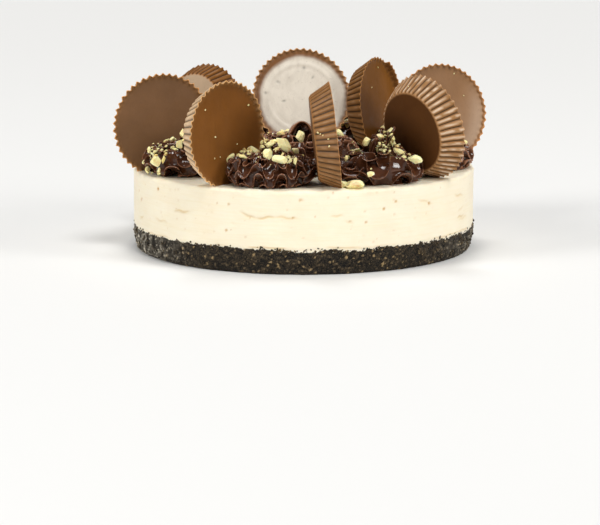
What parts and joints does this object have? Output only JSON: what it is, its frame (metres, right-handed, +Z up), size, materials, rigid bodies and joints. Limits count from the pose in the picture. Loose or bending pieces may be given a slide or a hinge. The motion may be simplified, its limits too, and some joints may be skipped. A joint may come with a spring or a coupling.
{
  "type": "mousse cake",
  "caption": "Round mousse cake on a dark crumb base, topped with piped ganache swirls, fluted chocolate cups standing on edge and chopped nuts.",
  "frame": {"origin": "centre of the flat underside of the crumb base", "axes": "+Z up, -Y to the front of the cake, +X to its right as seen from the front"},
  "size_m": [0.1899, 0.1816, 0.0971],
  "materials": {
    "crumb": "pressed dark cookie crumb, coarse and matte",
    "mousse": "smooth cream mousse, soft satin",
    "ganache": "dark chocolate ganache, glossy",
    "milk_chocolate": "moulded milk chocolate, satin",
    "bloomed_chocolate": "moulded milk chocolate with a pale bloom on its wide face"
  },
  "bodies": {
    "root": {"crumb_base": "crumb", "mousse": "mousse", "swirl_front_left": "ganache", "swirl_front": "ganache", "swirl_front_right": "ganache", "swirl_right": "ganache", "swirl_back_right": "ganache", "swirl_back": "ganache", "swirl_back_left": "ganache", "swirl_left": "ganache", "swirl_middle": "ganache", "cup_left": "milk_chocolate", "cup_back_left": "milk_chocolate", "cup_front_left": "milk_chocolate", "cup_back": "bloomed_chocolate", "cup_front": "milk_chocolate", "cup_back_right": "milk_chocolate", "cup_front_right": "milk_chocolate", "cup_right": "milk_chocolate"}
  },
  "joints": []
}
